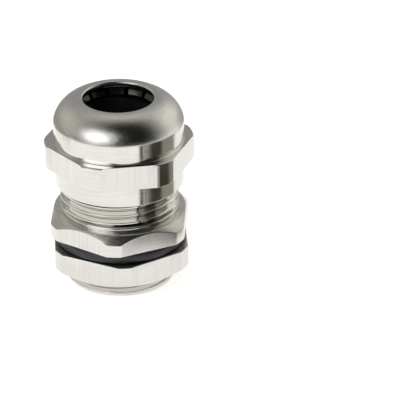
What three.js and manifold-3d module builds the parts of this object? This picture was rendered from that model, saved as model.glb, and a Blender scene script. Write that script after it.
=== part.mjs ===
// Metal cable gland with a round metric entry thread, in millimetres, +Z up.
// The axis of the gland is the Z axis. The end face of the entry thread lies on z = 0,
// and the dome nut with the cable bore is at the top.
// Six real pieces: body, dome nut, clamping claw, sealing bush, entry gasket and locknut.
// The claw is one moulding whose fingers bend at thin living hinges, so its ring and
// each of its fingers are meshes of their own.
import * as THREE from 'three';
import { mergeVertices } from 'three/addons/utils/BufferGeometryUtils.js';
import Module from 'manifold-3d';

// ---- Driving dimensions ----

const pitch = 1.5;
const threadDepth = 0.92;
const threadCrest = 0.19;
const threadFlank = Math.tan( Math.PI / 6 );
const threadClearance = 0.25;
const flankClearance = 0.1;
const rootClearance = 0.3;
const gap = 0.3;

// How far solids that are joined or cut reach into or past each other.
const overlap = 1;

// Levels along the axis, from the end of the entry thread upwards.
const locknutBottom = 3.05;
const locknutTop = 7.45;
const bodyHexBottom = 9.5;
const bodyHexTop = 13.15;
const collarTop = 13.9;
const skirtBottom = 18.45;
const domeHexBottom = 22.1;
const domeHexTop = 26.5;
const bandTop = 29.9;
const totalHeight = 34.25;

// Body.
const entryThreadRadius = 10;
const clampThreadRadius = 10.4;
const collarRadius = 10.35;
const bodyBore = 6.6;
const seatLevel = 14.3;
const insertBore = 8.35;
const bodyTop = 24.3;

// Dome nut.
const skirtRadius = 11.3;
const bandRadius = 11.38;
const domeRadius = 5.45;
const cableBore = 6.15;
const lipThickness = 1;
const lipRadius = 7.3;
const fingerRoom = 8.8;
const fingerRoomBottom = 28.2;
const fingerRoomTop = 29.1;
const ceilingRadius = 8.2;
const ceilingLevel = 31.65;
const threadReliefTop = 27.5;

// Clamping claw and sealing bush.
const fingerCount = 12;
const fingerShare = 0.78;
const clawRadius = 8.1;
const ringBore = 7.1;
const ringBottom = 19.2;
const ringTop = 24.5;
const shankRadius = 6.95;
const shoulderLevel = 28.7;
const noseRadius = 7.65;
const noseLevel = 31.2;
const fingerTop = 32.65;
const tipBore = 6.8;
const hookUnderside = 31.6;
const hookEdge = 31.8;
const hookRadius = 6.2;
const bushBottom = 17.6;
const bushTop = 31.2;
const bushBore = 5.75;
const bushWallRadius = 6.8;
const bushTipRadius = 6.2;
const bushTaperLevel = 24.7;
const flangeTop = 18.9;
const flangeClearance = 0.05;

// The three hexagons: distance across flats, turned corner radius, radius where the chamfer
// meets the end face, steepness of the chamfer, and the angle of one corner from +X.
const domeHex = { flats: 24, corner: 13.05, chamferCircle: 12.8, slope: 0.58, angle: 13.6 };
const bodyHex = { flats: 23.4, corner: 12.85, chamferCircle: 11.5, slope: 1, angle: 30 };
const locknutHex = { flats: 23.4, corner: 12.87, chamferCircle: 11.7, slope: 0.58, angle: 37.7 };
const fingerAngle = 7.8;

// Height of the thread crest where it crosses the +X side, on each of the two threads.
const entryThreadPhase = 1.2;
const clampThreadPhase = 0.1;

const turnedSides = 48;
const hexSides = 72;
const hiddenSides = 24;
const stepsPerTurn = 24;
const arcSteps = 3;

// ---- Materials ----

const nickel = new THREE.MeshStandardMaterial( { color: '#c9c5bc', roughness: 0.28, metalness: 1 } );
const blackPolyamide = new THREE.MeshStandardMaterial( { color: '#101113', roughness: 0.3, metalness: 0 } );
const blackRubber = new THREE.MeshStandardMaterial( { color: '#1b1b1c', roughness: 0.6, metalness: 0 } );

// ---- Joining and cutting ----

const wasm = await Module();
wasm.setup();

function toSolid( geometry ) {

	const bare = geometry.clone();
	bare.deleteAttribute( 'normal' );
	bare.deleteAttribute( 'uv' );
	const merged = mergeVertices( bare, 1e-4 );
	return new wasm.Manifold( new wasm.Mesh( {
		numProp: 3,
		vertProperties: new Float32Array( merged.attributes.position.array ),
		triVerts: new Uint32Array( merged.index.array ),
	} ) );

}

function toGeometry( solid ) {

	const mesh = solid.getMesh();
	const geometry = new THREE.BufferGeometry();
	geometry.setAttribute( 'position', new THREE.BufferAttribute( mesh.vertProperties, 3 ) );
	geometry.setIndex( new THREE.BufferAttribute( mesh.triVerts, 1 ) );
	return geometry;

}

// ---- Shape helpers ----

// Turns a closed outline of (radius, height) about the Z axis. The outline goes up outside.
function turned( outline, sides = hiddenSides ) {

	const geometry = new THREE.LatheGeometry( outline.getPoints( arcSteps ), sides );
	geometry.rotateX( Math.PI / 2 );
	return geometry;

}

function closedOutline( corners ) {

	const outline = new THREE.Path();
	outline.moveTo( ...corners[ 0 ] );
	corners.slice( 1 ).forEach( ( corner ) => outline.lineTo( ...corner ) );
	outline.lineTo( ...corners[ 0 ] );
	return outline;

}

// A plain cylinder about the Z axis.
function cylinder( radius, bottom, top ) {

	const outline = closedOutline( [ [ 0, bottom ], [ radius, bottom ], [ radius, top ], [ 0, top ] ] );
	return toSolid( turned( outline ) );

}

// A helix about the Z axis whose section always faces outwards. With no rise it is an arc.
class Helix extends THREE.Curve {

	constructor( radius, rise, bottom, startAngle, turns ) {

		super();
		Object.assign( this, { radius, rise, bottom, startAngle, turns } );

	}

	angle( t ) {

		return this.startAngle + t * this.turns * 2 * Math.PI;

	}

	getPoint( t, target = new THREE.Vector3() ) {

		const a = this.angle( t );
		const height = this.bottom + t * this.turns * this.rise;
		return target.set( this.radius * Math.cos( a ), this.radius * Math.sin( a ), height );

	}

	computeFrenetFrames( segments ) {

		const tangents = [];
		const normals = [];
		const binormals = [];
		for ( let i = 0; i <= segments; i ++ ) {

			const a = this.angle( i / segments );
			const slope = this.rise / ( 2 * Math.PI * this.radius );
			const tangent = new THREE.Vector3( - Math.sin( a ), Math.cos( a ), slope ).normalize();
			const outward = new THREE.Vector3( Math.cos( a ), Math.sin( a ), 0 );
			tangents.push( tangent );
			normals.push( outward );
			binormals.push( new THREE.Vector3( 0, 0, - 1 ) );

		}

		return { tangents, normals, binormals };

	}

}

// Sweeps an outline of (radius, height above the curve) along a helix or an arc.
function swept( corners, curve, steps ) {

	const local = corners.map( ( [ r, z ] ) => new THREE.Vector2( r - curve.radius, - z ) );
	return new THREE.ExtrudeGeometry( new THREE.Shape( local ), { extrudePath: curve, steps } );

}

// The helical ridge of a right-hand thread, rooted a little inside its core.
function threadRidge( majorRadius, phase, bottom, top, growth = 0, widening = 0 ) {

	const core = majorRadius - threadDepth;
	const root = core - 0.25;
	const crest = majorRadius + growth;
	const crestHalf = threadCrest / 2 + widening - growth * threadFlank;
	const coreHalf = crestHalf + ( crest - core ) * threadFlank;
	const section = [
		[ root, - coreHalf ], [ core, - coreHalf ], [ crest, - crestHalf ],
		[ crest, crestHalf ], [ core, coreHalf ], [ root, coreHalf ],
	];
	const firstTurn = Math.floor( ( bottom - phase ) / pitch ) - 1;
	const turns = Math.ceil( ( top - bottom ) / pitch ) + 3;
	const curve = new Helix( core, pitch, phase + firstTurn * pitch, 0, turns );
	return toSolid( swept( section, curve, turns * stepsPerTurn ) );

}

// Cuts a female thread through a solid, over the stretch from bottom to top.
function tap( solid, majorRadius, phase, bottom, top ) {

	const hole = cylinder( majorRadius - threadDepth + rootClearance, bottom, top );
	const groove = threadRidge( majorRadius, phase, bottom, top, threadClearance, flankClearance )
		.intersect( cylinder( majorRadius + overlap, bottom, top ) );
	return solid.subtract( hole ).subtract( groove );

}

// A hexagon nut blank with turned corners and a turned chamfer at its top or bottom.
function hexagon( { flats, corner, chamferCircle, slope, angle }, bottom, top, chamferAtTop ) {

	const sharpCorner = flats / Math.sqrt( 3 );
	const shape = new THREE.Shape();
	for ( let i = 0; i < 6; i ++ ) {

		const a = THREE.MathUtils.degToRad( angle + 60 * i );
		const place = [ sharpCorner * Math.cos( a ), sharpCorner * Math.sin( a ) ];
		if ( i === 0 ) shape.moveTo( ...place );
		else shape.lineTo( ...place );

	}

	const prism = new THREE.ExtrudeGeometry( shape, { depth: top - bottom, bevelEnabled: false } );
	prism.translate( 0, 0, bottom );
	const drop = ( corner - chamferCircle ) * slope;
	const corners = chamferAtTop
		? [ [ 0, bottom ], [ corner, bottom ], [ corner, top - drop ], [ chamferCircle, top ], [ 0, top ] ]
		: [ [ 0, bottom ], [ chamferCircle, bottom ], [ corner, bottom + drop ], [ corner, top ], [ 0, top ] ];
	const envelope = turned( closedOutline( corners ), hexSides );
	return toSolid( prism ).intersect( toSolid( envelope ) );

}

// ---- Body: entry thread, spanner hexagon and clamping thread on one through bore ----

function makeBody() {

	const entryCore = entryThreadRadius - threadDepth;
	const clampCore = clampThreadRadius - threadDepth;
	const entryChamfer = 0.35;
	const clampChamfer = 0.7;
	const rootChamfer = 0.2;
	const topChamfer = 0.4;
	const boreChamfer = 0.4;
	const insertChamfer = 0.3;
	const clampThreadTop = bodyTop - topChamfer;
	const hexMiddle = bodyHexBottom + overlap;
	const tube = closedOutline( [
		[ 0, 0 ], [ entryCore - rootChamfer, 0 ], [ entryCore, rootChamfer ], [ entryCore, hexMiddle ],
		[ collarRadius, hexMiddle ], [ collarRadius, collarTop ], [ clampCore, collarTop ],
		[ clampCore, clampThreadTop ], [ clampCore - topChamfer, bodyTop ], [ 0, bodyTop ],
	] );
	const entryEnvelope = closedOutline( [
		[ 0, 0 ], [ entryThreadRadius - entryChamfer, 0 ], [ entryThreadRadius, entryChamfer ],
		[ entryThreadRadius, hexMiddle ], [ 0, hexMiddle ],
	] );
	const clampEnvelope = closedOutline( [
		[ 0, bodyHexTop - overlap ], [ clampThreadRadius, bodyHexTop - overlap ],
		[ clampThreadRadius, clampThreadTop - clampChamfer ],
		[ clampThreadRadius - clampChamfer, clampThreadTop ], [ 0, clampThreadTop ],
	] );
	const bore = closedOutline( [
		[ 0, - overlap ], [ bodyBore + boreChamfer, - overlap ], [ bodyBore + boreChamfer, 0 ],
		[ bodyBore, boreChamfer ], [ bodyBore, seatLevel ], [ insertBore, seatLevel ],
		[ insertBore, bodyTop - insertChamfer ], [ insertBore + insertChamfer, bodyTop ],
		[ insertBore + insertChamfer, bodyTop + overlap ], [ 0, bodyTop + overlap ],
	] );
	const entryRidge = threadRidge( entryThreadRadius, entryThreadPhase, 0, bodyHexBottom );
	const clampRidge = threadRidge( clampThreadRadius, clampThreadPhase, bodyHexTop, bodyTop );
	return toSolid( turned( tube ) )
		.add( entryRidge.intersect( toSolid( turned( entryEnvelope ) ) ) )
		.add( clampRidge.intersect( toSolid( turned( clampEnvelope ) ) ) )
		.add( hexagon( bodyHex, bodyHexBottom, bodyHexTop, true ) )
		.subtract( toSolid( turned( bore ) ) );

}

// ---- Dome nut: plain skirt, spanner hexagon, band and rounded dome with the cable bore ----

function makeDomeNut() {

	const domeLevel = totalHeight - domeRadius;
	const domeStart = Math.asin( ( bandTop - domeLevel ) / domeRadius );
	const domeCentre = bandRadius - domeRadius * Math.cos( domeStart );
	const lip = totalHeight - lipThickness;
	const rimRound = 0.5;
	const rimCut = 0.3 * rimRound;
	const reliefRadius = clampThreadRadius + rootClearance;
	const chamfer = 0.3;
	const mouthChamfer = 0.9;
	const threadRunOut = 0.5;
	const outer = new THREE.Path();
	outer.moveTo( 0, skirtBottom );
	outer.lineTo( skirtRadius - chamfer, skirtBottom );
	outer.lineTo( skirtRadius, skirtBottom + chamfer );
	outer.lineTo( skirtRadius, domeHexBottom );
	outer.lineTo( bandRadius, domeHexTop );
	outer.absarc( domeCentre, domeLevel, domeRadius, domeStart, Math.PI / 2, false );
	outer.lineTo( 0, totalHeight );
	outer.lineTo( 0, skirtBottom );
	const reliefBottom = bodyTop + 1;
	const hollow = closedOutline( [
		[ 0, reliefBottom ], [ reliefRadius, reliefBottom ], [ reliefRadius, threadReliefTop ],
		[ fingerRoom, fingerRoomBottom ], [ fingerRoom, fingerRoomTop ],
		[ ceilingRadius, ceilingLevel ], [ lipRadius, lip ], [ cableBore, lip ],
		[ cableBore, totalHeight - rimRound ], [ cableBore + rimCut, totalHeight - rimCut ],
		[ cableBore + rimRound, totalHeight ], [ cableBore + rimRound, totalHeight + overlap ],
		[ 0, totalHeight + overlap ],
	] );
	const mouthRadius = clampThreadRadius + threadClearance;
	const mouth = closedOutline( [
		[ 0, skirtBottom - overlap ], [ mouthRadius, skirtBottom - overlap ], [ mouthRadius, skirtBottom ],
		[ mouthRadius - mouthChamfer, skirtBottom + mouthChamfer ], [ 0, skirtBottom + mouthChamfer ],
	] );
	const blank = toSolid( turned( outer, turnedSides ) )
		.add( hexagon( domeHex, domeHexBottom, domeHexTop, true ) )
		.subtract( toSolid( turned( hollow ) ) )
		.subtract( toSolid( turned( mouth ) ) );
	const threadBottom = skirtBottom - threadRunOut;
	return tap( blank, clampThreadRadius, clampThreadPhase, threadBottom, reliefBottom + threadRunOut );

}

// ---- Locknut on the entry thread ----

function makeLocknut() {

	const blank = hexagon( locknutHex, locknutBottom, locknutTop, false );
	const threadBottom = locknutBottom - overlap;
	return tap( blank, entryThreadRadius, entryThreadPhase, threadBottom, locknutTop + overlap );

}

// ---- Entry gasket: a rubber ring between the body's hexagon and the locknut ----

function makeGasket() {

	const inner = entryThreadRadius + threadClearance;
	const outer = 11.65;
	const bottom = locknutTop + gap;
	const top = bodyHexBottom - gap;
	const round = ( top - bottom ) / 2;
	const outline = new THREE.Path();
	outline.moveTo( inner, bottom );
	outline.lineTo( outer - round, bottom );
	outline.absarc( outer - round, bottom + round, round, - Math.PI / 2, Math.PI / 2, false );
	outline.lineTo( inner, top );
	outline.lineTo( inner, bottom );
	return turned( outline, turnedSides );

}

// ---- Sealing bush: flange at its foot, straight bore, outside tapered under the fingers ----

function makeBush() {

	const flangeRadius = clawRadius - flangeClearance;
	return turned( closedOutline( [
		[ bushBore, bushBottom ], [ flangeRadius, bushBottom ], [ flangeRadius, flangeTop ],
		[ bushWallRadius, flangeTop ], [ bushWallRadius, bushTaperLevel ],
		[ bushTipRadius, bushTop ], [ bushBore, bushTop ],
	] ) );

}

// ---- Clamping claw: plain ring below and a circle of fingers that hook in over the bush ----

function makeClampingRing() {

	const chamfer = 0.2;
	return turned( closedOutline( [
		[ ringBore, ringBottom ], [ clawRadius - chamfer, ringBottom ], [ clawRadius, ringBottom + chamfer ],
		[ clawRadius, ringTop ], [ ringBore, ringTop ],
	] ) );

}

function makeFinger( index ) {

	const foot = ringTop + gap;
	const footBore = 7.05;
	const section = [
		[ footBore, foot ], [ clawRadius, foot ], [ clawRadius, shoulderLevel ],
		[ noseRadius, noseLevel ], [ shankRadius, fingerTop ], [ tipBore, fingerTop ],
		[ hookRadius, hookEdge ], [ hookRadius, hookUnderside ], [ shankRadius, hookUnderside ],
	];
	const turns = fingerShare / fingerCount;
	const middle = THREE.MathUtils.degToRad( fingerAngle ) + index * 2 * Math.PI / fingerCount;
	const curve = new Helix( clawRadius, 0, 0, middle - turns * Math.PI, turns );
	return swept( section, curve, 3 );

}

// ---- Assembly ----

const cableGland = new THREE.Group();

function addPiece( name, geometry, material ) {

	const piece = new THREE.Mesh( geometry, material );
	piece.name = name;
	cableGland.add( piece );

}

addPiece( 'gland_body', toGeometry( makeBody() ), nickel );
addPiece( 'dome_nut', toGeometry( makeDomeNut() ), nickel );
addPiece( 'locknut', toGeometry( makeLocknut() ), nickel );
addPiece( 'entry_gasket', makeGasket(), blackRubber );
addPiece( 'sealing_bush', makeBush(), blackRubber );
addPiece( 'clamping_ring', makeClampingRing(), blackPolyamide );
for ( let i = 0; i < fingerCount; i ++ ) {

	const number = String( i + 1 ).padStart( 2, '0' );
	addPiece( `clamping_finger_${ number }`, makeFinger( i ), blackPolyamide );

}

export default cableGland;
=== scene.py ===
"""A nickel-plated cable gland with its fine looks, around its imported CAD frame.

Outlines are in millimetres, as (radius, height) points, and every mesh is made in metres."""
import math

import bmesh
import bpy
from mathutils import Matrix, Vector


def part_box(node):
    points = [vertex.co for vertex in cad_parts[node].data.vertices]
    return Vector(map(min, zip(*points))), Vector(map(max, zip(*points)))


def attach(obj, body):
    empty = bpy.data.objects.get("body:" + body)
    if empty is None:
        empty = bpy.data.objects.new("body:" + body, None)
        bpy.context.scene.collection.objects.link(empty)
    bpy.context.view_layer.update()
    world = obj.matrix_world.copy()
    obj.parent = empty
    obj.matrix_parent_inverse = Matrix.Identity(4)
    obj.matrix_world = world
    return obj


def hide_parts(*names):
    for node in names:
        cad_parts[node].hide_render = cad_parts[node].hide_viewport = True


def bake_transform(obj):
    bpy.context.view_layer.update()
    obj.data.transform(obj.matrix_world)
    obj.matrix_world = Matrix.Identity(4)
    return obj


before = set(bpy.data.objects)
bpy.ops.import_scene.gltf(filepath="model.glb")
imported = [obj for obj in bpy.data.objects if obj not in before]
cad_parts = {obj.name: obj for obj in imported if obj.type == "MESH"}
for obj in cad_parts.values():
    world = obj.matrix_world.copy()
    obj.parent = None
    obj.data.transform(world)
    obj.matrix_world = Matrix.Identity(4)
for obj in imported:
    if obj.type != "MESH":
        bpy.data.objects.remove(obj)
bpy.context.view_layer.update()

# ---- Sizes, in millimetres ----

MM = 0.001


def levels(node):
    """Lowest and highest level of a CAD node."""
    low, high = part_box(node)
    return low.z / MM, high.z / MM


BODY_TOP = levels("gland_body")[1]
NUT_BOTTOM, NUT_TOP = levels("dome_nut")
LOCKNUT_BOTTOM, LOCKNUT_TOP = levels("locknut")
BUSH_BOTTOM, BUSH_TOP = levels("sealing_bush")
RING_BOTTOM, RING_TOP = levels("clamping_ring")
FINGER_BOTTOM, FINGER_TOP = levels("clamping_finger_01")
GASKET_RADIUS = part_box("entry_gasket")[1].x / MM
CLAW_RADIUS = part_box("clamping_ring")[1].x / MM
BODY_HALF_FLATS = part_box("gland_body")[1].x / MM
BODY_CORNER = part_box("gland_body")[1].y / MM


def spanner_hexagon(bottom, top, half_flats, corner, chamfer, slope, turn):
    """The measures of a hexagon for a spanner.

    They are a bottom and a top level, radii at the flats, at the turned corners and where the
    chamfer starts, the chamfer's steepness, and the angle of one corner in degrees."""
    return {
        "bottom": bottom,
        "top": top,
        "half_flats": half_flats,
        "corner": corner,
        "chamfer": chamfer,
        "slope": slope,
        "turn": math.radians(turn),
    }


BODY_HEX = spanner_hexagon(
    bottom=9.5,
    top=13.15,
    half_flats=BODY_HALF_FLATS,
    corner=BODY_CORNER,
    chamfer=11.5,
    slope=1.0,
    turn=30,
)
DOME_HEX = spanner_hexagon(
    bottom=22.1,
    top=26.5,
    half_flats=12.0,
    corner=13.035,
    chamfer=12.75,
    slope=0.58,
    turn=13.6,
)
LOCKNUT_HEX = spanner_hexagon(
    bottom=LOCKNUT_BOTTOM,
    top=LOCKNUT_TOP,
    half_flats=BODY_HALF_FLATS,
    corner=12.86,
    chamfer=11.65,
    slope=0.58,
    turn=37.7,
)

# Threads. The shares are parts of the pitch, counted from the middle of the crest.
PITCH = 1.5
THREAD_DEPTH = 0.92
ENTRY_CREST = 10.0
ENTRY_CORE = ENTRY_CREST - THREAD_DEPTH
ENTRY_PHASE = 1.2
CLAMP_CREST = 10.4
CLAMP_CORE = CLAMP_CREST - THREAD_DEPTH
CLAMP_PHASE = 0.1
RIDGE_SHARES = (-0.46, -0.41, -0.37, -0.25, -0.12, -0.08, -0.05, 0.05, 0.08, 0.12, 0.25, 0.37, 0.41, 0.46)
ROOT_SHARE = 0.417
FLANK_SHARE = 0.354
FLANK_ROUNDING = 0.3
FEMALE_ROOT_CLEARANCE = 0.17
FEMALE_CREST_CLEARANCE = 0.3
FEMALE_SHARE_CLEARANCE = 0.06
MOUTH_CLEARANCE = 0.3
RELIEF_CLEARANCE = 0.25

# Body: the plain collars below and above its threads, and its stepped bore.
FOOT_COLLAR_RADIUS = 9.5
FOOT_COLLAR_TOP = 0.5
COLLAR_RADIUS = 10.35
COLLAR_TOP = 13.9
ENTRY_BORE = 6.6
ENTRY_BORE_BEVEL = 0.4
INSERT_BORE = 8.35
INSERT_BORE_BEVEL = 0.3
SEAT_LEVEL = 14.3
LEAST_CHAMFER = 0.02

# Dome nut: outside, then its lip and the room for the fingers under the tapered ceiling.
SKIRT_RADIUS = 11.3
BAND_RADIUS = 11.37
BAND_TOP = 29.9
DOME_RADIUS = 5.45
DOME_STEPS = 24
CABLE_BORE = 6.15
LIP = 1.0
CEILING_INNER = 7.3
CEILING_OUTER = 8.2
CEILING_DROP = 1.6
ROOM_RADIUS = 8.8
ROOM_BOTTOM = 28.2
RELIEF_TOP = 27.5

# Sealing bush and claw.
BUSH_BORE = 5.75
BUSH_WALL_RADIUS = 6.8
BUSH_TIP_RADIUS = 6.2
BUSH_FLANGE = 1.3
CLAW_RING_BORE = 7.1
FINGER_COUNT = 12
FINGER_COLUMNS = 8
FINGER_WIDTH = math.radians(23.4)
FIRST_FINGER = math.radians(7.8)
FINGER_FOOT_INNER = 7.3
FINGER_FOOT_OUTER = 7.85
HOOK_UNDERSIDE = 31.6
HOOK_RADIUS = 6.2

# Gasket.
GASKET_BORE = ENTRY_CREST + 0.15
GASKET_GAP = 0.02

# Meshes. A rounded corner takes at most the share LONGEST_CUT of each edge beside it.
SIDES = 240
FULL_TURN = 2 * math.pi
LONGEST_CUT = 0.45
FINGER_BEVEL = 0.08
SHARP_ANGLE = math.radians(32)
MERGE_DISTANCE = 0.0015
DEGENERATE_LENGTH = 0.0005

# ---- Outlines ----


def rounded(points, steps=4):
    """Rounds corners of an open outline, where a point's third number is the length to cut back."""
    made = []
    for index, point in enumerate(points):
        corner = Vector(point[:2])
        cut = point[2] if len(point) > 2 else 0
        if not cut or index in (0, len(points) - 1):
            made.append(tuple(corner))
            continue
        before = Vector(points[index - 1][:2]) - corner
        after = Vector(points[index + 1][:2]) - corner
        cut = min(cut, LONGEST_CUT * before.length, LONGEST_CUT * after.length)
        start = corner + before.normalized() * cut
        end = corner + after.normalized() * cut
        for step in range(steps + 1):
            t = step / steps
            made.append(tuple(start * (1 - t) ** 2 + corner * 2 * t * (1 - t) + end * t**2))
    return made


def between(points, height):
    """Radius at a height on a list of (height, radius) points in rising order."""
    if height <= points[0][0]:
        return points[0][1]
    for (h0, r0), (h1, r1) in zip(points, points[1:]):
        if height <= h1:
            return r0 + (r1 - r0) * (height - h0) / (h1 - h0)
    return points[-1][1]


def ridge(share):
    """Height of a thread's ridge, 0 at its root and 1 at its crest, for a share of the pitch."""
    slope = min(max((ROOT_SHARE - abs(share)) / FLANK_SHARE, 0), 1)
    return (1 - FLANK_ROUNDING) * slope + FLANK_ROUNDING * slope * slope * (3 - 2 * slope)


def thread(angle, bottom, top, crest, phase, inner, outer, female=False):
    """Rows up a right-hand thread, held between two heights and the inner and outer limits.

    The rows follow the helix. The limits meet at both ends, so the rows past each end fall on
    one point. A female thread stands clear of the male one."""
    rows = []
    first = math.floor((bottom - phase) / PITCH) - 2
    last = math.ceil((top - phase) / PITCH) + 1
    for turn in range(first, last):
        for share in RIDGE_SHARES:
            height = phase + PITCH * (turn + share + angle / FULL_TURN)
            height = min(max(height, bottom), top)
            if female:
                wider = max(abs(share) - FEMALE_SHARE_CLEARANCE, 0)
                radius = crest + FEMALE_ROOT_CLEARANCE - THREAD_DEPTH * (1 - ridge(wider))
                radius = max(radius, crest - THREAD_DEPTH + FEMALE_CREST_CLEARANCE)
            else:
                radius = crest - THREAD_DEPTH * (1 - ridge(share))
            rows.append((min(max(radius, between(inner, height)), between(outer, height)), height))
    return rows


def hex_radius(angle, hexagon):
    """Radius of a hexagon with turned corners at an angle about the axis."""
    off = (angle - hexagon["turn"]) % (math.pi / 3) - math.pi / 6
    return min(hexagon["half_flats"] / math.cos(off), hexagon["corner"])


def chamfered_top(angle, hexagon):
    """The side and the top chamfer of a hexagon, which misses the middles of narrow flats."""
    radius = hex_radius(angle, hexagon)
    drop = max(radius - hexagon["chamfer"], LEAST_CHAMFER) * hexagon["slope"]
    return [
        (radius, hexagon["bottom"], 0.12),
        (radius, hexagon["top"] - drop, 0.1),
        (min(hexagon["chamfer"], radius - LEAST_CHAMFER), hexagon["top"], 0.1),
    ]


def column_angles(hexagon):
    """Angles of a mesh's columns: one on each edge between flat and corner, evenly spaced between."""
    half_arc = math.pi / 6 - math.acos(hexagon["half_flats"] / hexagon["corner"])
    angles = []
    for corner in range(6):
        middle = hexagon["turn"] + corner * math.pi / 3
        stops = (middle - half_arc, middle + half_arc, middle - half_arc + math.pi / 3)
        for start, end in zip(stops, stops[1:]):
            steps = round((end - start) / FULL_TURN * SIDES)
            angles += [start + (end - start) * step / steps for step in range(steps)]
    return angles + [angles[0] + FULL_TURN]


# ---- Meshes ----


def new_piece(name, bm):
    """An object in metres from a bmesh in millimetres, smooth between its sharp edges."""
    bmesh.ops.scale(bm, vec=(MM, MM, MM), verts=bm.verts)
    bmesh.ops.recalc_face_normals(bm, faces=bm.faces)
    mesh = bpy.data.meshes.new(name)
    bm.to_mesh(mesh)
    bm.free()
    mesh.shade_smooth()
    mesh.set_sharp_from_angle(angle=SHARP_ANGLE)
    piece = bpy.data.objects.new(name, mesh)
    bpy.context.scene.collection.objects.link(piece)
    weighted = piece.modifiers.new("even_faces", "WEIGHTED_NORMAL")
    weighted.keep_sharp = True
    return piece


def revolved(name, outline_at, angles):
    """A closed mesh about the Z axis from one closed outline per angle, going up on the outside."""
    bm = bmesh.new()
    columns = []
    for angle in angles:
        c, s = math.cos(angle), math.sin(angle)
        columns.append([bm.verts.new((r * c, r * s, z)) for r, z in outline_at(angle)])
    for left, right in zip(columns, columns[1:]):
        for row in range(len(left)):
            above = (row + 1) % len(left)
            bm.faces.new((left[row], right[row], right[above], left[above]))
    bmesh.ops.remove_doubles(bm, verts=bm.verts, dist=MERGE_DISTANCE)
    bmesh.ops.dissolve_degenerate(bm, edges=bm.edges, dist=DEGENERATE_LENGTH)
    return new_piece(name, bm)


def lathe(name, points):
    """A closed mesh from one outline, with its marked corners rounded."""
    outline = rounded(points)
    even = [i * FULL_TURN / SIDES for i in range(SIDES + 1)]
    return revolved(name, lambda angle: outline, even)


# ---- Metal pieces ----


def body_outline(angle):
    """Entry thread, hexagon, collar and clamping thread outside, and the stepped bore inside."""
    hex_bottom, hex_top = BODY_HEX["bottom"], BODY_HEX["top"]
    tip_radius = CLAMP_CORE - 0.35
    tip_level = BODY_TOP - 0.05
    foot_start = (FOOT_COLLAR_TOP, FOOT_COLLAR_RADIUS)
    entry_inner = [foot_start, (FOOT_COLLAR_TOP + 0.35, ENTRY_CORE), (hex_bottom, ENTRY_CORE)]
    entry_outer = [
        foot_start,
        (FOOT_COLLAR_TOP + 0.5, ENTRY_CREST),
        (hex_bottom - 1.2, ENTRY_CREST),
        (hex_bottom - 0.4, ENTRY_CORE),
        (hex_bottom, ENTRY_CORE),
    ]
    clamp_inner = [
        (COLLAR_TOP, CLAMP_CORE),
        (BODY_TOP - 0.4, CLAMP_CORE),
        (tip_level, tip_radius),
    ]
    clamp_outer = [
        (COLLAR_TOP, CLAMP_CORE),
        (COLLAR_TOP + 0.45, CLAMP_CREST),
        (BODY_TOP - 1.2, CLAMP_CREST),
        (tip_level, tip_radius),
    ]
    foot = rounded(
        [
            (ENTRY_BORE + ENTRY_BORE_BEVEL, 0),
            (FOOT_COLLAR_RADIUS, 0, 0.15),
            (FOOT_COLLAR_RADIUS, FOOT_COLLAR_TOP),
        ]
    )
    entry_ends, clamp_ends = (FOOT_COLLAR_TOP, hex_bottom), (COLLAR_TOP, tip_level)
    entry = thread(angle, *entry_ends, ENTRY_CREST, ENTRY_PHASE, entry_inner, entry_outer)
    flange = rounded(
        [
            (ENTRY_CORE, hex_bottom),
            *chamfered_top(angle, BODY_HEX),
            (COLLAR_RADIUS, hex_top, 0.06),
            (COLLAR_RADIUS, COLLAR_TOP, 0.3),
            (CLAMP_CORE, COLLAR_TOP),
        ]
    )
    clamp = thread(angle, *clamp_ends, CLAMP_CREST, CLAMP_PHASE, clamp_inner, clamp_outer)
    inside = rounded(
        [
            (tip_radius, tip_level),
            (tip_radius - 0.05, BODY_TOP, 0.05),
            (INSERT_BORE + INSERT_BORE_BEVEL, BODY_TOP, 0.05),
            (INSERT_BORE, BODY_TOP - INSERT_BORE_BEVEL, 0.1),
            (INSERT_BORE, SEAT_LEVEL, 0.2),
            (ENTRY_BORE, SEAT_LEVEL, 0.3),
            (ENTRY_BORE, ENTRY_BORE_BEVEL, 0.1),
            (ENTRY_BORE + ENTRY_BORE_BEVEL, 0),
        ]
    )
    return foot[:-1] + entry + flange[1:-1] + clamp + inside[1:-1]


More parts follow.
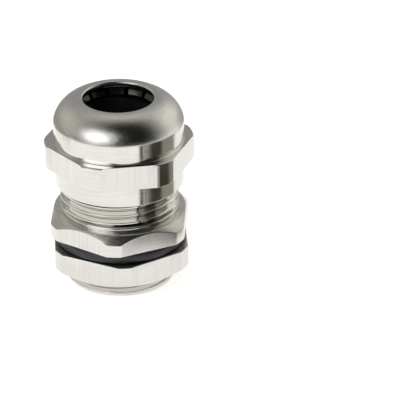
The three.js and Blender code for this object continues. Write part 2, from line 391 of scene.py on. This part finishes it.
def dome_nut_outline(angle):
    """Skirt, hexagon, band and dome outside, and the lip, fingers' room and thread inside."""
    dome_level = NUT_TOP - DOME_RADIUS
    dome_start = math.asin((BAND_TOP - dome_level) / DOME_RADIUS)
    dome_centre = BAND_RADIUS - DOME_RADIUS * math.cos(dome_start)
    arc_end = CABLE_BORE + 1.0
    arc = []
    for step in range(DOME_STEPS + 1):
        tilt = dome_start + (math.pi / 2 - dome_start) * step / DOME_STEPS
        radius = dome_centre + DOME_RADIUS * math.cos(tilt)
        if radius > arc_end:
            arc.append((radius, dome_level + DOME_RADIUS * math.sin(tilt)))
    mouth = CLAMP_CREST + MOUTH_CLEARANCE
    thread_bottom = NUT_BOTTOM + 0.3
    thread_top = BODY_TOP + 1.2
    relief = CLAMP_CREST + RELIEF_CLEARANCE
    minor = CLAMP_CORE + FEMALE_CREST_CLEARANCE
    inner = [
        (thread_bottom, mouth),
        (thread_bottom + 0.9, minor),
        (thread_top - 0.8, minor),
        (thread_top, relief),
    ]
    outer = [(thread_bottom, mouth), (thread_top, relief)]
    skirt = rounded(
        [
            (mouth, NUT_BOTTOM),
            (SKIRT_RADIUS, NUT_BOTTOM, 0.18),
            (SKIRT_RADIUS, DOME_HEX["bottom"], 0.08),
            *chamfered_top(angle, DOME_HEX),
            (BAND_RADIUS, DOME_HEX["top"], 0.2),
            (BAND_RADIUS, BAND_TOP),
        ]
    )
    lip = rounded(
        [
            arc[-1],
            (CABLE_BORE, NUT_TOP - 0.01, 0.5),
            (CABLE_BORE, NUT_TOP - LIP, 0.1),
            (CEILING_INNER, NUT_TOP - LIP, 0.2),
            (CEILING_OUTER, NUT_TOP - LIP - CEILING_DROP, 0.5),
            (ROOM_RADIUS, HOOK_UNDERSIDE - 2.5, 0.5),
            (ROOM_RADIUS, ROOM_BOTTOM, 0.2),
            (relief, RELIEF_TOP, 0.2),
            (relief, thread_top),
        ]
    )
    ends = (thread_bottom, thread_top)
    grooves = thread(angle, *ends, CLAMP_CREST, CLAMP_PHASE, inner, outer, female=True)
    return skirt + arc[1:] + lip[1:-1] + grooves[::-1]


def locknut_outline(angle):
    """Hexagon with its chamfer below, and the female thread inside."""
    radius = hex_radius(angle, LOCKNUT_HEX)
    drop = max(radius - LOCKNUT_HEX["chamfer"], 0) * LOCKNUT_HEX["slope"]
    mouth = ENTRY_CREST + MOUTH_CLEARANCE
    minor = ENTRY_CORE + FEMALE_CREST_CLEARANCE
    inner = [
        (LOCKNUT_BOTTOM, mouth),
        (LOCKNUT_BOTTOM + 0.9, minor),
        (LOCKNUT_TOP - 0.9, minor),
        (LOCKNUT_TOP, mouth),
    ]
    outer = [(LOCKNUT_BOTTOM, mouth), (LOCKNUT_TOP, mouth)]
    side = rounded(
        [
            (mouth, LOCKNUT_BOTTOM),
            (LOCKNUT_HEX["chamfer"], LOCKNUT_BOTTOM, 0.1),
            (radius, LOCKNUT_BOTTOM + drop, 0.12),
            (radius, LOCKNUT_TOP, 0.14),
            (mouth, LOCKNUT_TOP),
        ]
    )
    ends = (LOCKNUT_BOTTOM, LOCKNUT_TOP)
    grooves = thread(angle, *ends, ENTRY_CREST, ENTRY_PHASE, inner, outer, female=True)
    return side[:-1] + grooves[::-1][:-1]


# Places in a metal piece's list of materials. The first is the turned finish.
MILLED_SLOT = 1
ENTRY_THREAD_SLOT = 2
CLAMP_THREAD_SLOT = 3
CHAMFER_SLOT = 4
DOME_SLOT = 2


def mark_band(piece, slot, bottom, top, inner, outer):
    """Gives a material slot to the faces that lie between two levels and two radii."""
    for face in piece.data.polygons:
        radius = math.hypot(face.center.x, face.center.y)
        if bottom * MM < face.center.z < top * MM and inner * MM < radius < outer * MM:
            face.material_index = slot


def mark_flats(piece, hexagon):
    """Gives the milled finish's slot to the hexagon's six flats."""
    low, high = hexagon["bottom"] * MM, hexagon["top"] * MM
    inner, outer = hexagon["half_flats"] * MM * 0.99, (hexagon["corner"] - 0.01) * MM
    for face in piece.data.polygons:
        centre, normal = face.center, face.normal
        outwards = Vector((centre.x, centre.y, 0))
        upright = abs(normal.z) < 0.1 and normal.dot(outwards) > 0
        if upright and low < centre.z < high and inner < outwards.length < outer:
            face.material_index = MILLED_SLOT


# ---- Rubber and plastic pieces ----


def make_gasket():
    """A rubber ring with round edges, between the locknut and the body's hexagon."""
    bottom, top = LOCKNUT_TOP + GASKET_GAP, BODY_HEX["bottom"] - GASKET_GAP
    return lathe(
        "entry_gasket_rubber",
        [
            (GASKET_BORE, bottom + 0.3),
            (GASKET_BORE, bottom, 0.3),
            (GASKET_RADIUS, bottom, 0.85),
            (GASKET_RADIUS, top, 0.85),
            (GASKET_BORE, top, 0.3),
        ],
    )


def make_bush():
    """A rubber tube with a flange at its foot and a tapered top."""
    flange_radius = CLAW_RADIUS - 0.05
    flange_top = BUSH_BOTTOM + BUSH_FLANGE
    return lathe(
        "sealing_bush_rubber",
        [
            (BUSH_BORE, BUSH_BOTTOM + 1),
            (BUSH_BORE, BUSH_BOTTOM, 0.5),
            (flange_radius, BUSH_BOTTOM, 0.3),
            (flange_radius, flange_top, 0.2),
            (BUSH_WALL_RADIUS, flange_top, 0.3),
            (BUSH_WALL_RADIUS, RING_TOP, 0.5),
            (BUSH_TIP_RADIUS, BUSH_TOP, 0.2),
            (BUSH_BORE, BUSH_TOP, 0.12),
        ],
    )


def make_ring():
    """The claw's plain ring, which the fingers stand on."""
    return lathe(
        "claw_ring",
        [
            (CLAW_RING_BORE, RING_BOTTOM + 0.5),
            (CLAW_RING_BORE, RING_BOTTOM, 0.15),
            (CLAW_RADIUS, RING_BOTTOM, 0.3),
            (CLAW_RADIUS, RING_TOP, 0.15),
            (CLAW_RING_BORE, RING_TOP, 0.15),
        ],
    )


def make_finger(index):
    """One finger of the claw: a thin hinge at the foot, a curved shank, and a hook over the bush."""
    in_ring = RING_TOP - 0.15
    gap_level = FINGER_BOTTOM - 0.05
    tip_inner, tip_outer = 6.8, 6.95
    shank_top_inner, shank_bottom_inner = 6.98, 7.05
    back_radius, back_level = 7.6, FINGER_TOP - 1.4
    outline = rounded(
        [
            (FINGER_FOOT_INNER, in_ring),
            (FINGER_FOOT_OUTER, in_ring),
            (FINGER_FOOT_OUTER, gap_level),
            (FINGER_FOOT_OUTER, FINGER_BOTTOM + 0.3, 0.15),
            (CLAW_RADIUS, FINGER_BOTTOM + 0.6, 0.15),
            (CLAW_RADIUS, HOOK_UNDERSIDE - 2.9, 0.8),
            (back_radius, back_level, 0.6),
            (tip_outer, FINGER_TOP, 0.08),
            (tip_inner, FINGER_TOP, 0.08),
            (HOOK_RADIUS, HOOK_UNDERSIDE + 0.2, 0.08),
            (HOOK_RADIUS, HOOK_UNDERSIDE, 0.08),
            (shank_top_inner, HOOK_UNDERSIDE, 0.15),
            (shank_bottom_inner, FINGER_BOTTOM + 0.5, 0.15),
            (FINGER_FOOT_INNER, FINGER_BOTTOM + 0.25, 0.1),
            (FINGER_FOOT_INNER, gap_level),
        ],
        steps=3,
    )
    middle = FIRST_FINGER + index * FULL_TURN / FINGER_COUNT
    bm = bmesh.new()
    rings = []
    for column in range(FINGER_COLUMNS + 1):
        angle = middle + FINGER_WIDTH * (column / FINGER_COLUMNS - 0.5)
        c, s = math.cos(angle), math.sin(angle)
        rings.append([bm.verts.new((r * c, r * s, z)) for r, z in outline])
    for left, right in zip(rings, rings[1:]):
        for row in range(len(outline)):
            above = (row + 1) % len(outline)
            bm.faces.new((left[row], right[row], right[above], left[above]))
    ends = [bm.faces.new(rings[0]), bm.faces.new(rings[-1][::-1])]
    rims = {edge for face in ends for edge in face.edges}
    rounding = {"offset": FINGER_BEVEL, "segments": 2, "profile": 0.6}
    bmesh.ops.bevel(bm, geom=list(rims), affect="EDGES", **rounding)
    name = f"claw_finger_{index + 1:02d}"
    piece = new_piece(name, bm)
    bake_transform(piece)
    return piece


# ---- Materials ----


class Shader:
    """A Principled material under construction, with short calls for its nodes."""

    def __init__(self, name, **sockets):
        self.material = bpy.data.materials.new(name)
        self.material.use_nodes = True
        self.nodes = self.material.node_tree.nodes
        self.links = self.material.node_tree.links
        self.surface = self.nodes["Principled BSDF"]
        for socket, value in sockets.items():
            self.surface.inputs[socket.replace("_", " ")].default_value = value

    def node(self, kind, settings=(), **inputs):
        """A new node. An input goes by its name, or by its place as _0, _1 and so on."""
        made = self.nodes.new(kind)
        for key, value in dict(settings).items():
            setattr(made, key, value)
        for key, value in inputs.items():
            place = int(key[1:]) if key[1:].isdigit() else key.replace("_", " ")
            self.feed(made.inputs[place], value)
        return made

    def feed(self, socket, value):
        """Links another node's output to a socket, or sets its value."""
        if isinstance(value, bpy.types.NodeSocket):
            self.links.new(value, socket)
        else:
            socket.default_value = value

    def operate(self, operation, a, b=0.0):
        """Arithmetic on one or two values."""
        return self.node("ShaderNodeMath", {"operation": operation}, _0=a, _1=b).outputs[0]

    def mapped(self, value, low, high, to_low, to_high):
        """A value carried from one range to another, and held inside it."""
        made = self.node("ShaderNodeMapRange", (), Value=value, From_Min=low, From_Max=high)
        self.feed(made.inputs["To Min"], to_low)
        self.feed(made.inputs["To Max"], to_high)
        return made.outputs["Result"]

    def noise(self, vector, scale, detail=2.0, roughness=0.5):
        """Noise from 0 to 1, most of it near the middle."""
        made = self.node("ShaderNodeTexNoise", (), Vector=vector, Scale=scale)
        self.feed(made.inputs["Detail"], detail)
        self.feed(made.inputs["Roughness"], roughness)
        return made.outputs["Fac"]

    def blend(self, factor, first, second):
        """Mixes two colours. Each may be a colour or another node's output."""
        made = self.node("ShaderNodeMix", {"data_type": "RGBA"}, Factor=factor)
        slots = [socket for socket in made.inputs if socket.type == "RGBA"]
        self.feed(slots[0], first)
        self.feed(slots[1], second)
        return next(socket for socket in made.outputs if socket.type == "RGBA")

    def radius(self):
        """Distance from the gland's axis."""
        xyz = self.node("ShaderNodeSeparateXYZ", (), _0=self.place())
        squares = [self.operate("POWER", xyz.outputs[axis], 2.0) for axis in (0, 1)]
        return self.operate("SQRT", self.operate("ADD", *squares))

    def ring_vector(self, along, around):
        """Coordinates that run at one rate along the turned profile and another round the axis."""
        xyz = self.node("ShaderNodeSeparateXYZ", (), _0=self.place())
        turn = self.operate("ARCTAN2", xyz.outputs[1], xyz.outputs[0])
        joined = self.node(
            "ShaderNodeCombineXYZ",
            (),
            X=self.operate("MULTIPLY", self.radius(), along),
            Y=self.operate("MULTIPLY", turn, around),
            Z=self.operate("MULTIPLY", xyz.outputs[2], along),
        )
        return joined.outputs[0]

    def place(self):
        """Position on the piece, in metres."""
        return self.node("ShaderNodeTexCoord").outputs["Object"]

    def bump(self, height, strength, distance, below=None):
        """A normal for a relief, on top of another one where that is given."""
        made = self.node("ShaderNodeBump", (), Strength=strength, Distance=distance, Height=height)
        if below is not None:
            self.links.new(below, made.inputs["Normal"])
        return made.outputs["Normal"]


# Heights of relief, in metres, for tool lines and moulded grain, and for speckle in the plating.
LINE_HEIGHT = 0.00002
SPECKLE_HEIGHT = 0.00005
# Noise scales, per metre.
SPECKLE_SCALE = 7000.0
NICKEL_CLOUD_SCALE = 260.0
POLYMER_CLOUD_SCALE = 400.0

NICKEL = (0.715, 0.7, 0.685, 1.0)
NICKEL_SHADE = (0.58, 0.562, 0.54, 1.0)
THREAD_FLANK = (0.7, 0.69, 0.66, 1.0)
# Painted shade: the dark colour laid into a thread's root.
THREAD_ROOT_PAINTED_SHADE = (0.34, 0.335, 0.315, 1.0)


def nickel(name, lines_at, line_strength, rough, speckle, crest=None):
    """Nickel plating over tool lines, with fine grain, cloudy roughness and a faint change of tone.

    The tool lines have a rate along the turned profile and one round the axis. With a crest
    radius, in millimetres, it is a thread's, whose flanks are duller and whose root is painted
    dark as shade in the groove."""
    shader = Shader(name, Metallic=1.0)
    lines = shader.noise(shader.ring_vector(*lines_at), 1.0, 3.0, 0.6)
    grain = shader.noise(shader.place(), SPECKLE_SCALE, 2.0, 0.6)
    clouds = shader.noise(shader.place(), NICKEL_CLOUD_SCALE, 3.0, 0.55)
    uneven = shader.operate("ADD", clouds, shader.operate("MULTIPLY", grain, 0.35))
    roughness = shader.mapped(uneven, 0.45, 0.95, *rough)
    shader.feed(shader.surface.inputs["Roughness"], roughness)
    patches = shader.operate("MULTIPLY", clouds, 0.3)
    tone = shader.operate("ADD", shader.operate("MULTIPLY", lines, 0.7), patches)
    colour = shader.blend(shader.mapped(tone, 0.35, 0.7, 0.0, 0.7), NICKEL, NICKEL_SHADE)
    # A thread's root is painted dark by its radius, as painted shade in the groove.
    if crest:
        core = crest - THREAD_DEPTH
        flank_ends = ((crest - 0.22) * MM, (crest - 0.06) * MM)
        root_shade_ends = ((core + 0.05) * MM, (core + 0.2) * MM)
        flank = shader.mapped(shader.radius(), *flank_ends, 1.0, 0.0)
        root = shader.mapped(shader.radius(), *root_shade_ends, 1.0, 0.0)
        colour = shader.blend(root, shader.blend(flank, colour, THREAD_FLANK), THREAD_ROOT_PAINTED_SHADE)
    shader.feed(shader.surface.inputs["Base Color"], colour)
    lined = shader.bump(lines, line_strength, LINE_HEIGHT)
    normal = shader.bump(grain, speckle, SPECKLE_HEIGHT, lined)
    shader.feed(shader.surface.inputs["Normal"], normal)
    return shader.material


def polymer(name, colour, rough, grain_scale, strength):
    """Black plastic or rubber with moulded grain and uneven gloss."""
    shader = Shader(name, IOR=1.5)
    grain = shader.noise(shader.place(), grain_scale, 3.0, 0.6)
    clouds = shader.noise(shader.place(), POLYMER_CLOUD_SCALE, 2.0, 0.5)
    shader.feed(shader.surface.inputs["Roughness"], shader.mapped(clouds, 0.3, 0.7, *rough))
    ramp = shader.node("ShaderNodeValToRGB", (), Fac=grain)
    ramp.color_ramp.elements[0].color = (*[0.75 * c for c in colour], 1)
    ramp.color_ramp.elements[1].color = (*[1.3 * c for c in colour], 1)
    shader.feed(shader.surface.inputs["Base Color"], ramp.outputs["Color"])
    shader.feed(shader.surface.inputs["Normal"], shader.bump(grain, strength, LINE_HEIGHT))
    return shader.material


dome_finish = nickel(
    "nickel_turned_dome", lines_at=(5200, 3), line_strength=0.3, rough=(0.12, 0.22), speckle=0.75
)
turned_finish = nickel(
    "nickel_turned", lines_at=(5200, 2), line_strength=0.35, rough=(0.11, 0.2), speckle=0.1
)
milled_finish = nickel(
    "nickel_milled_flats", lines_at=(60, 52), line_strength=0.95, rough=(0.16, 0.3), speckle=0.15
)
thread_look = {"lines_at": (2500, 1), "line_strength": 0.15, "rough": (0.08, 0.14), "speckle": 0.04}
entry_finish = nickel("nickel_entry_thread", **thread_look, crest=ENTRY_CREST)
clamp_finish = nickel("nickel_clamp_thread", **thread_look, crest=CLAMP_CREST)
chamfer_finish = nickel(
    "nickel_turned_chamfer", lines_at=(4200, 6), line_strength=0.6, rough=(0.14, 0.26), speckle=0.6
)
claw_finish = polymer(
    "black_polyamide", (0.008, 0.008, 0.01), rough=(0.1, 0.2), grain_scale=2500, strength=0.08
)
bush_finish = polymer(
    "black_bush_rubber", (0.006, 0.006, 0.008), rough=(0.4, 0.55), grain_scale=3000, strength=0.12
)
gasket_finish = polymer(
    "black_gasket_rubber", (0.016, 0.017, 0.02), rough=(0.32, 0.5), grain_scale=3000, strength=0.15
)

# ---- Assembly ----


def dress(piece, slot, *materials):
    """Gives a piece its materials. The slot, the record's material, is not used."""
    for material in materials:
        piece.data.materials.append(material)


gland_body = revolved("gland_body_metal", body_outline, column_angles(BODY_HEX))
body_finishes = (turned_finish, milled_finish, entry_finish, clamp_finish, chamfer_finish)
dress(gland_body, "nickel_plated_brass", *body_finishes)
mark_band(
    gland_body,
    ENTRY_THREAD_SLOT,
    bottom=FOOT_COLLAR_TOP - 0.1,
    top=BODY_HEX["bottom"] - 0.05,
    inner=ENTRY_CORE - 0.18,
    outer=ENTRY_CREST + 0.1,
)
mark_band(
    gland_body,
    CLAMP_THREAD_SLOT,
    bottom=COLLAR_TOP,
    top=BODY_TOP,
    inner=CLAMP_CORE - 0.48,
    outer=CLAMP_CREST + 0.1,
)
mark_band(
    gland_body,
    CHAMFER_SLOT,
    bottom=BODY_HEX["bottom"] + 1.5,
    top=BODY_HEX["top"] + 0.02,
    inner=COLLAR_RADIUS + 0.02,
    outer=BODY_CORNER + 0.1,
)
mark_flats(gland_body, BODY_HEX)
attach(gland_body, "body")
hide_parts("gland_body")

dome_nut = revolved("dome_nut_metal", dome_nut_outline, column_angles(DOME_HEX))
dress(dome_nut, "nickel_plated_brass", turned_finish, milled_finish, dome_finish)
mark_band(
    dome_nut,
    DOME_SLOT,
    bottom=BAND_TOP,
    top=NUT_TOP + 0.1,
    inner=CABLE_BORE - 0.1,
    outer=BAND_RADIUS + 0.1,
)
mark_flats(dome_nut, DOME_HEX)
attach(dome_nut, "dome_nut")
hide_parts("dome_nut")

locknut = revolved("locknut_metal", locknut_outline, column_angles(LOCKNUT_HEX))
dress(locknut, "nickel_plated_brass", turned_finish, milled_finish)
mark_flats(locknut, LOCKNUT_HEX)
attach(locknut, "locknut")
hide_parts("locknut")

gasket = make_gasket()
dress(gasket, "black_nitrile_rubber", gasket_finish)
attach(gasket, "gasket")
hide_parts("entry_gasket")

bush = make_bush()
dress(bush, "black_nitrile_rubber", bush_finish)
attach(bush, "insert")
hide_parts("sealing_bush")

ring = make_ring()
dress(ring, "black_polyamide", claw_finish)
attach(ring, "insert")
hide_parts("clamping_ring")

for number in range(FINGER_COUNT):
    finger = make_finger(number)
    dress(finger, "black_polyamide", claw_finish)
    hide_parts(f"clamping_finger_{number + 1:02d}")

# ---- Floor, light and camera, in metres ----

CAMERA_AZIMUTH = math.radians(5.76)
CAMERA_DISTANCE = 0.3887
CAMERA_HEIGHT = 0.2171
CAMERA_LENS = 224.2
CAMERA_TILT = math.radians(90 - 27.595)
CAMERA_PAN = math.radians(-2.078)
MIDDLE_LEVEL = 0.025
AIM_LEVEL = 0.02
FLOOR_REACH = 3.0
CARD_STEPS = 16
FLAG_DISTANCE = 0.24
DARK_CLOTH = (0.012, 0.012, 0.011)

# What the neighbouring gland would reflect: first and last azimuth, and colour.
NEIGHBOUR_STRIPS = (
    (29, 35, (0.05, 0.048, 0.042)),
    (36.5, 40, (0.06, 0.058, 0.05)),
    (41, 47, (0.22, 0.21, 0.18)),
    (47, 66, (0.055, 0.052, 0.042)),
    (66, 95, (0.4, 0.385, 0.33)),
)

# Soft spots in the studio's grey: azimuth, elevation, outer and inner reach, and colour.
STUDIO_GREY = (0.34, 0.345, 0.335)
STUDIO_SPOTS = (
    (180, 66, 30, 6, (0.62, 0.6, 0.55)),
    (-115, 17, 42, 4, (0.62, 0.61, 0.54)),
    (122, 20, 42, 4, (0.95, 0.94, 0.84)),
    (0, 80, 26, 12, (0.07, 0.072, 0.066)),
    (25, 45, 52, 34, (0.018, 0.02, 0.017)),
)


def around(azimuth, elevation, distance):
    """A point round the gland. Azimuth 0 is on the camera's side, and grows towards its right."""
    turn = CAMERA_AZIMUTH + math.radians(azimuth)
    rise = math.radians(elevation)
    flat = distance * math.cos(rise)
    height = MIDDLE_LEVEL + distance * math.sin(rise)
    return Vector((flat * math.sin(turn), -flat * math.cos(turn), height))


def plain_material(name, colour, glow=0.0):
    """A matt stage material. A glow lifts the shadows on it."""
    made = bpy.data.materials.new(name)
    made.use_nodes = True
    surface = made.node_tree.nodes["Principled BSDF"]
    surface.inputs["Base Color"].default_value = (*colour, 1)
    surface.inputs["Roughness"].default_value = 0.9
    surface.inputs["Specular IOR Level"].default_value = 0.1
    surface.inputs["Emission Color"].default_value = (*colour, 1)
    surface.inputs["Emission Strength"].default_value = glow
    return made


def stage_mesh(name, vertices, faces, material):
    """A plain mesh that belongs to the stage and not to the gland."""
    mesh = bpy.data.meshes.new(name)
    mesh.from_pydata(vertices, [], faces)
    mesh.materials.append(material)
    made = bpy.data.objects.new(name, mesh)
    bpy.context.scene.collection.objects.link(made)
    return made


def make_floor():
    """A pale floor that glows a little, so that it stays nearly white."""
    reach = FLOOR_REACH
    corners = [(-reach, -reach, 0), (reach, -reach, 0), (reach, reach, 0), (-reach, reach, 0)]
    paper = plain_material("pale_floor", (0.93, 0.928, 0.92), glow=0.66)
    stage_mesh("floor", corners, [(0, 1, 2, 3)], paper)


def make_flag(name, first, last, distance, top, colour=DARK_CLOTH, bottom=0.0):
    """A curved card that only shows in reflections, between two azimuths."""
    vertices = []
    for step in range(CARD_STEPS + 1):
        place = around(first + (last - first) * step / CARD_STEPS, 0, distance)
        vertices += [(place.x, place.y, bottom), (place.x, place.y, top)]
    faces = [(2 * i, 2 * i + 2, 2 * i + 3, 2 * i + 1) for i in range(CARD_STEPS)]
    flag = stage_mesh(name, vertices, faces, plain_material(name + "_cloth", colour))
    flag.visible_camera = False
    flag.visible_diffuse = False
    flag.visible_shadow = False
    flag.visible_transmission = False


def make_light(name, azimuth, elevation, distance, width, height, power, colour, glossy=True):
    """A soft elliptical lamp that faces the gland and that the camera can't see."""
    lamp = bpy.data.lights.new(name, "AREA")
    lamp.shape = "ELLIPSE"
    lamp.size = width
    lamp.size_y = height
    lamp.energy = power
    lamp.color = colour
    made = bpy.data.objects.new(name, lamp)
    made.location = around(azimuth, elevation, distance)
    aim = Vector((0, 0, AIM_LEVEL)) - made.location
    made.rotation_euler = aim.to_track_quat("-Z", "Y").to_euler()
    made.visible_glossy = glossy
    made.visible_camera = False
    bpy.context.scene.collection.objects.link(made)


def make_world():
    """A soft grey studio: glows at both sides, darker overhead and in front."""
    world = bpy.data.worlds.new("studio")
    bpy.context.scene.world = world
    world.use_nodes = True
    nodes, links = world.node_tree.nodes, world.node_tree.links
    background = nodes["Background"]
    direction = nodes.new("ShaderNodeTexCoord").outputs["Generated"]

    def facing(azimuth, elevation):
        """Cosine of the angle between the way looked and a direction."""
        dot = nodes.new("ShaderNodeVectorMath")
        dot.operation = "DOT_PRODUCT"
        links.new(direction, dot.inputs[0])
        aim = around(azimuth, elevation, 1) - Vector((0, 0, MIDDLE_LEVEL))
        dot.inputs[1].default_value = aim.normalized()
        return dot.outputs["Value"]

    def spot(azimuth, elevation, wide, tight):
        """1 inside the inner reach, 0 outside the outer one. Both are angles in degrees."""
        ramp = nodes.new("ShaderNodeMapRange")
        ramp.interpolation_type = "SMOOTHSTEP"
        links.new(facing(azimuth, elevation), ramp.inputs["Value"])
        ramp.inputs["From Min"].default_value = math.cos(math.radians(wide))
        ramp.inputs["From Max"].default_value = math.cos(math.radians(tight))
        return ramp.outputs["Result"]

    def mixed(colour, tint, factor):
        """Lays a tint over a colour, which may be another node's output."""
        mix = nodes.new("ShaderNodeMix")
        mix.data_type = "RGBA"
        slots = [socket for socket in mix.inputs if socket.type == "RGBA"]
        links.new(factor, mix.inputs[0])
        if isinstance(colour, tuple):
            slots[0].default_value = (*colour, 1)
        else:
            links.new(colour, slots[0])
        slots[1].default_value = (*tint, 1)
        return next(socket for socket in mix.outputs if socket.type == "RGBA")

    colour = STUDIO_GREY
    for azimuth, elevation, wide, tight, tint in STUDIO_SPOTS:
        colour = mixed(colour, tint, spot(azimuth, elevation, wide, tight))
    links.new(colour, background.inputs["Color"])


make_floor()
make_flag("front_flag", -12, 70, FLAG_DISTANCE, top=0.3)
make_flag("front_strip", -85, -12, FLAG_DISTANCE, top=0.052)
for number, (first, last, colour) in enumerate(NEIGHBOUR_STRIPS):
    make_flag(f"neighbour_strip_{number + 1}", first, last, distance=0.03, top=0.024, colour=colour)
make_flag(
    "rear_strip", 112, 278, distance=0.042, top=0.034, colour=(0.55, 0.54, 0.51), bottom=0.0145
)
make_world()
make_light(
    "key_softbox",
    azimuth=-40,
    elevation=28,
    distance=0.6,
    width=0.52,
    height=0.42,
    power=1.1,
    colour=(1.0, 0.99, 0.97),
)
make_light(
    "top_light",
    azimuth=0,
    elevation=88,
    distance=0.9,
    width=1.2,
    height=1.2,
    power=2.3,
    colour=(1.0, 0.995, 0.98),
    glossy=False,
)


def make_camera():
    """A long lens that looks down on the gland, as the photograph's does."""
    camera = bpy.data.cameras.new("camera")
    camera.lens = CAMERA_LENS
    camera.sensor_width = 36
    camera.clip_start = 0.01
    camera.clip_end = 20
    made = bpy.data.objects.new("camera", camera)
    across = CAMERA_DISTANCE * math.sin(CAMERA_AZIMUTH)
    back = -CAMERA_DISTANCE * math.cos(CAMERA_AZIMUTH)
    made.location = (across, back, CAMERA_HEIGHT)
    made.rotation_euler = (CAMERA_TILT, 0, CAMERA_AZIMUTH + CAMERA_PAN)
    bpy.context.scene.collection.objects.link(made)
    bpy.context.scene.camera = made


make_camera()
bpy.context.scene.view_settings.view_transform = "Standard"
